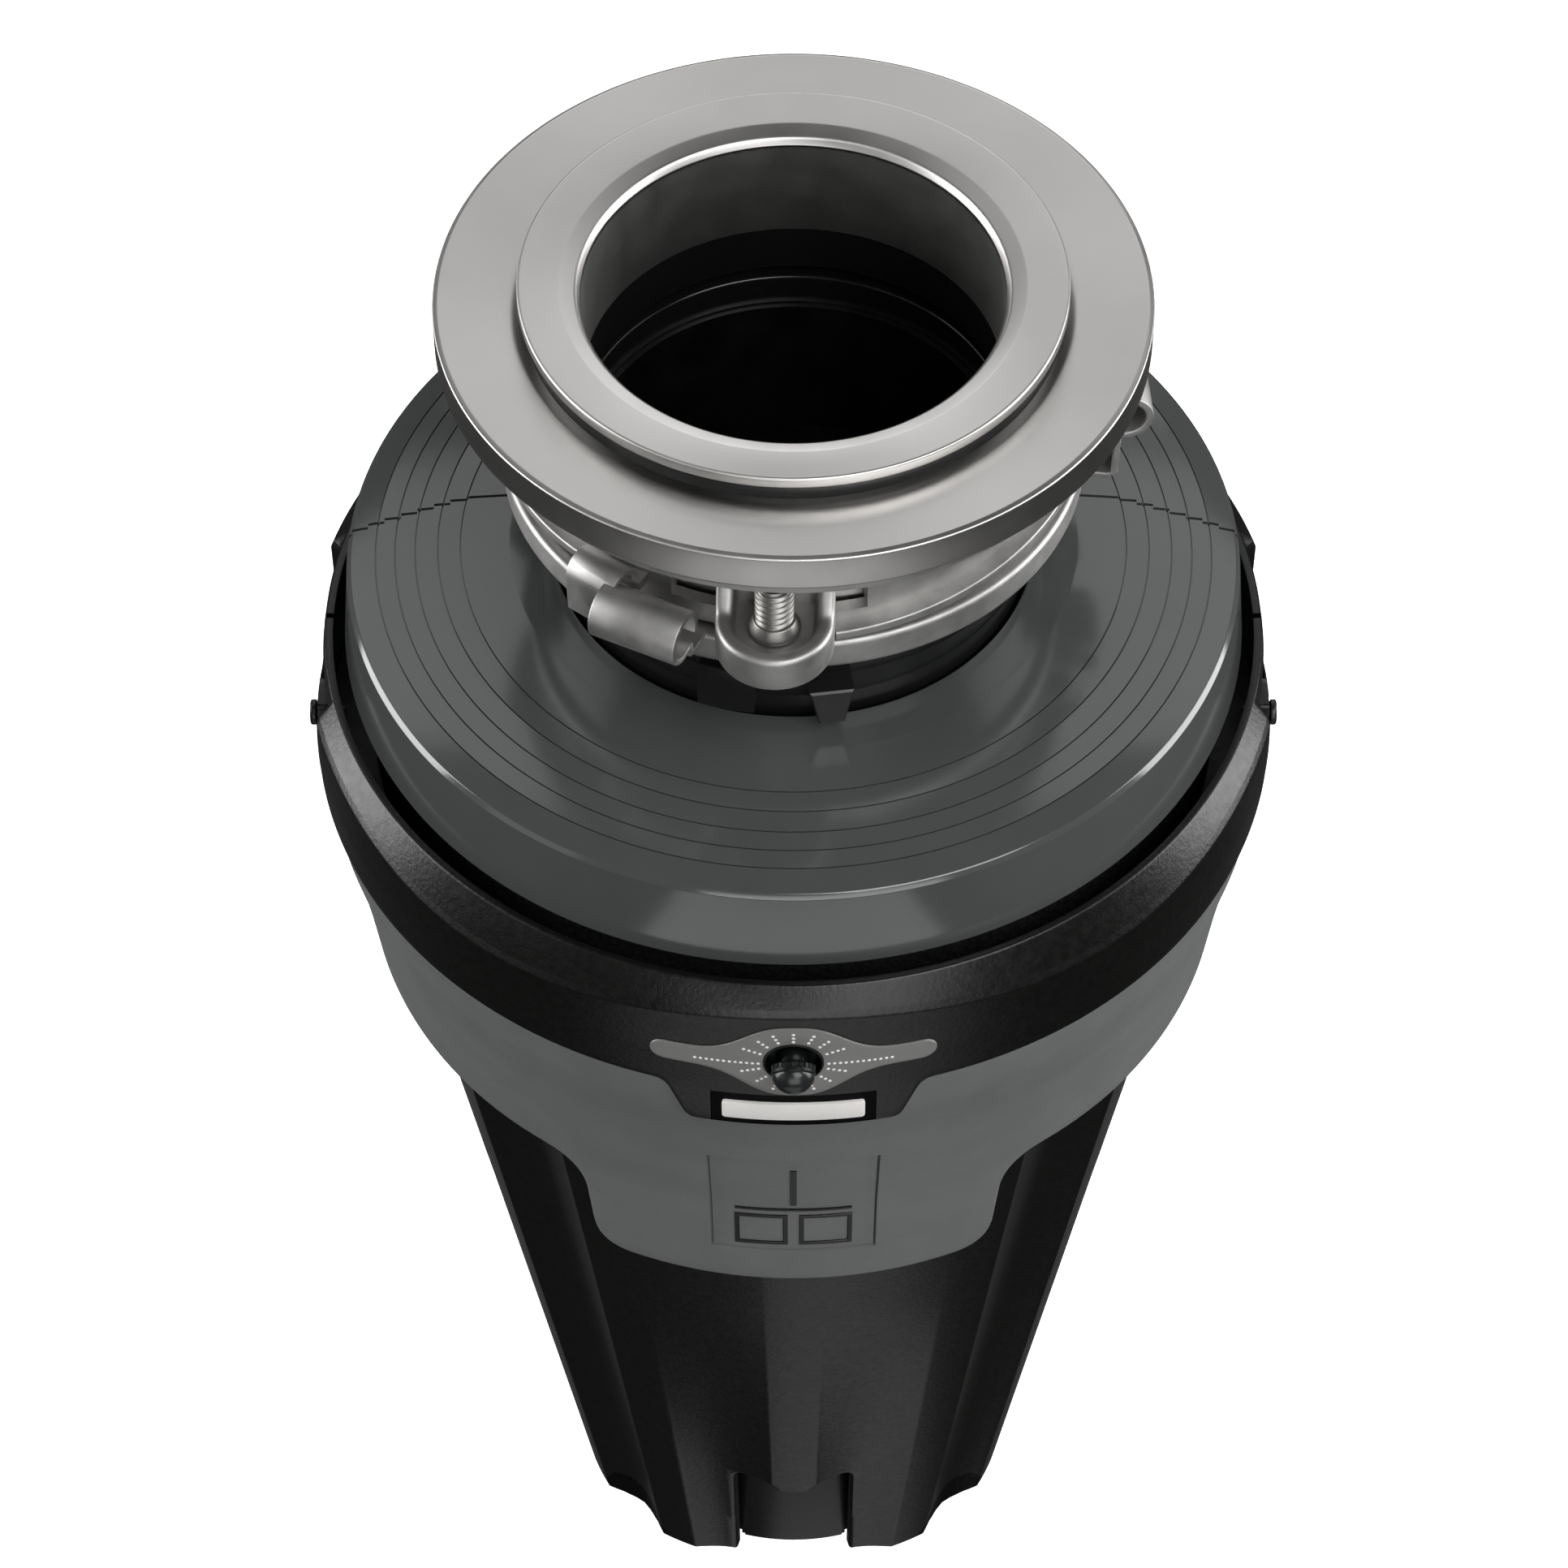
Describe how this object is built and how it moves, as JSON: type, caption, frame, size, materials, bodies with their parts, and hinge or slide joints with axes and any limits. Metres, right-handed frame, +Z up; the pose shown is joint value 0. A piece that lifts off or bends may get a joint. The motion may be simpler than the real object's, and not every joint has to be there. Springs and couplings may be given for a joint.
{
  "type": "kitchen garbage disposal",
  "caption": "Under-sink food waste disposal with sink flange, quick-lock ring mount, grind chamber with swivelling impellers, and a direct-current motor in a tapered fluted housing.",
  "frame": {"origin": "floor level under the centre line of the disposal, bottom centre of its box", "axes": "+Z up along the centre line, -Y towards the front with the lamp, +X to the right seen from the front"},
  "size_m": [0.1654, 0.1762, 0.3174],
  "materials": {
    "stainless": "satin brushed stainless",
    "zinc_steel": "stamped and burnished steel",
    "screw_steel": "turned steel",
    "can_steel": "black painted drawn steel",
    "shaft_steel": "ground steel",
    "lamination": "stacked sheet steel",
    "cast_aluminium": "die cast",
    "hopper_metal": "drawn stainless",
    "lamp_panel_metal": "satin plate with small white dots",
    "name_metal": "plain bar on a black ground",
    "rubber": "smooth black rubber",
    "grey_cover": "satin dark grey plastic with faint turned rings",
    "grey_belt": "fine grained grey plastic",
    "black_plastic": "grained black plastic",
    "bell_black": "smooth black plastic",
    "gloss_black": "polished black plastic",
    "pin_black": "moulded black nylon",
    "red_plastic": "red button",
    "lens": "dark smoked clear dome",
    "board_green": "circuit board",
    "ferrite": "sintered magnet",
    "copper": "enamelled copper",
    "brass": "pressed brass",
    "carbon": null,
    "phenolic": "brown laminate",
    "foam": "dense sound foam"
  },
  "bodies": {
    "housing": {"sink_flange": "stainless", "sink_gasket": "rubber", "backup_ring": "zinc_steel", "mounting_ring": "zinc_steel", "mounting_screws": "screw_steel", "snap_ring": "zinc_steel", "mounting_gasket": "rubber", "top_cover_front": "grey_cover", "top_cover_rear": "grey_cover", "band_front": "black_plastic", "band_rear": "black_plastic", "band_pins": "pin_black", "lamp_panel": "lamp_panel_metal", "lamp_bezel": "gloss_black", "lamp_board": "board_green", "name_plate": "name_metal", "belt_cover": "grey_belt", "rating_plate": "grey_belt", "lower_shell": "black_plastic", "end_bell": "bell_black", "motor_can": "can_steel", "magnets": "ferrite", "upper_bearing": "shaft_steel", "lower_bearing": "shaft_steel", "shaft_seal": "rubber", "brush_plate": "phenolic", "brush_holders": "brass", "carbon_brushes": "carbon", "brush_springs": "shaft_steel", "through_bolts": "screw_steel", "drain_chamber": "cast_aluminium", "clamp_band": "stainless", "grind_housing": "hopper_metal", "hopper": "hopper_metal", "hopper_neck": "hopper_metal", "grind_ring": "stainless", "insulation_front": "foam", "insulation_rear": "foam", "reset_switch": "bell_black", "cord_grommet": "rubber", "wiring_cover": "zinc_steel", "base_screws": "screw_steel", "dishwasher_inlet": "bell_black", "inlet_knockout": "bell_black"},
    "rotor": {"motor_shaft": "shaft_steel", "armature_core": "lamination", "armature_windings": "copper", "commutator": "copper", "turntable": "stainless", "turntable_nut": "screw_steel", "impeller_rivets": "screw_steel"},
    "left_impeller": {"impeller_left": "stainless"},
    "right_impeller": {"impeller_right": "stainless"},
    "locking_ring": {"lock_ring": "zinc_steel"},
    "splash_guard": {"splash_guard_trim": "stainless", "splash_guard_rubber": "rubber"},
    "lamp_swivel": {"lamp_swivel_cup": "gloss_black"},
    "lamp": {"lamp_head": "gloss_black", "lamp_lens": "lens"},
    "reset": {"reset_button": "red_plastic"}
  },
  "joints": [
    {"name": "turntable_spin", "type": "hinge", "parent": "housing", "child": "rotor", "pos_m": [0, 0, 0.153], "axis": [0, 0, 1], "continuous": true},
    {"name": "impeller_left_swing", "type": "hinge", "parent": "rotor", "child": "left_impeller", "pos_m": [-0.031, 0, 0.158], "axis": [0, 0, 1], "continuous": true},
    {"name": "impeller_right_swing", "type": "hinge", "parent": "rotor", "child": "right_impeller", "pos_m": [0.031, 0, 0.158], "axis": [0, 0, 1], "continuous": true},
    {"name": "lock_ring_turn", "type": "hinge", "parent": "housing", "child": "locking_ring", "pos_m": [0, 0, 0.281], "axis": [0, 0, 1], "range_deg": [-65, 0]},
    {"name": "splash_guard_lift", "type": "slide", "parent": "housing", "child": "splash_guard", "axis": [0, 0, 1], "range_m": [0, 0.06]},
    {"name": "lamp_ring_turn", "type": "hinge", "parent": "housing", "child": "lamp_swivel", "pos_m": [0, -0.0822, 0.2223], "axis": [0, -1, 0], "range_deg": [-60, 60]},
    {"name": "lamp_tilt", "type": "hinge", "parent": "lamp_swivel", "child": "lamp", "pos_m": [0, -0.0822, 0.2223], "axis": [1, 0, 0], "range_deg": [-35, 0]},
    {"name": "reset_press", "type": "slide", "parent": "housing", "child": "reset", "axis": [0, 0, 1], "range_m": [0, 0.0025], "stiffness_N_per_m": 400, "springref_m": -0.002}
  ]
}
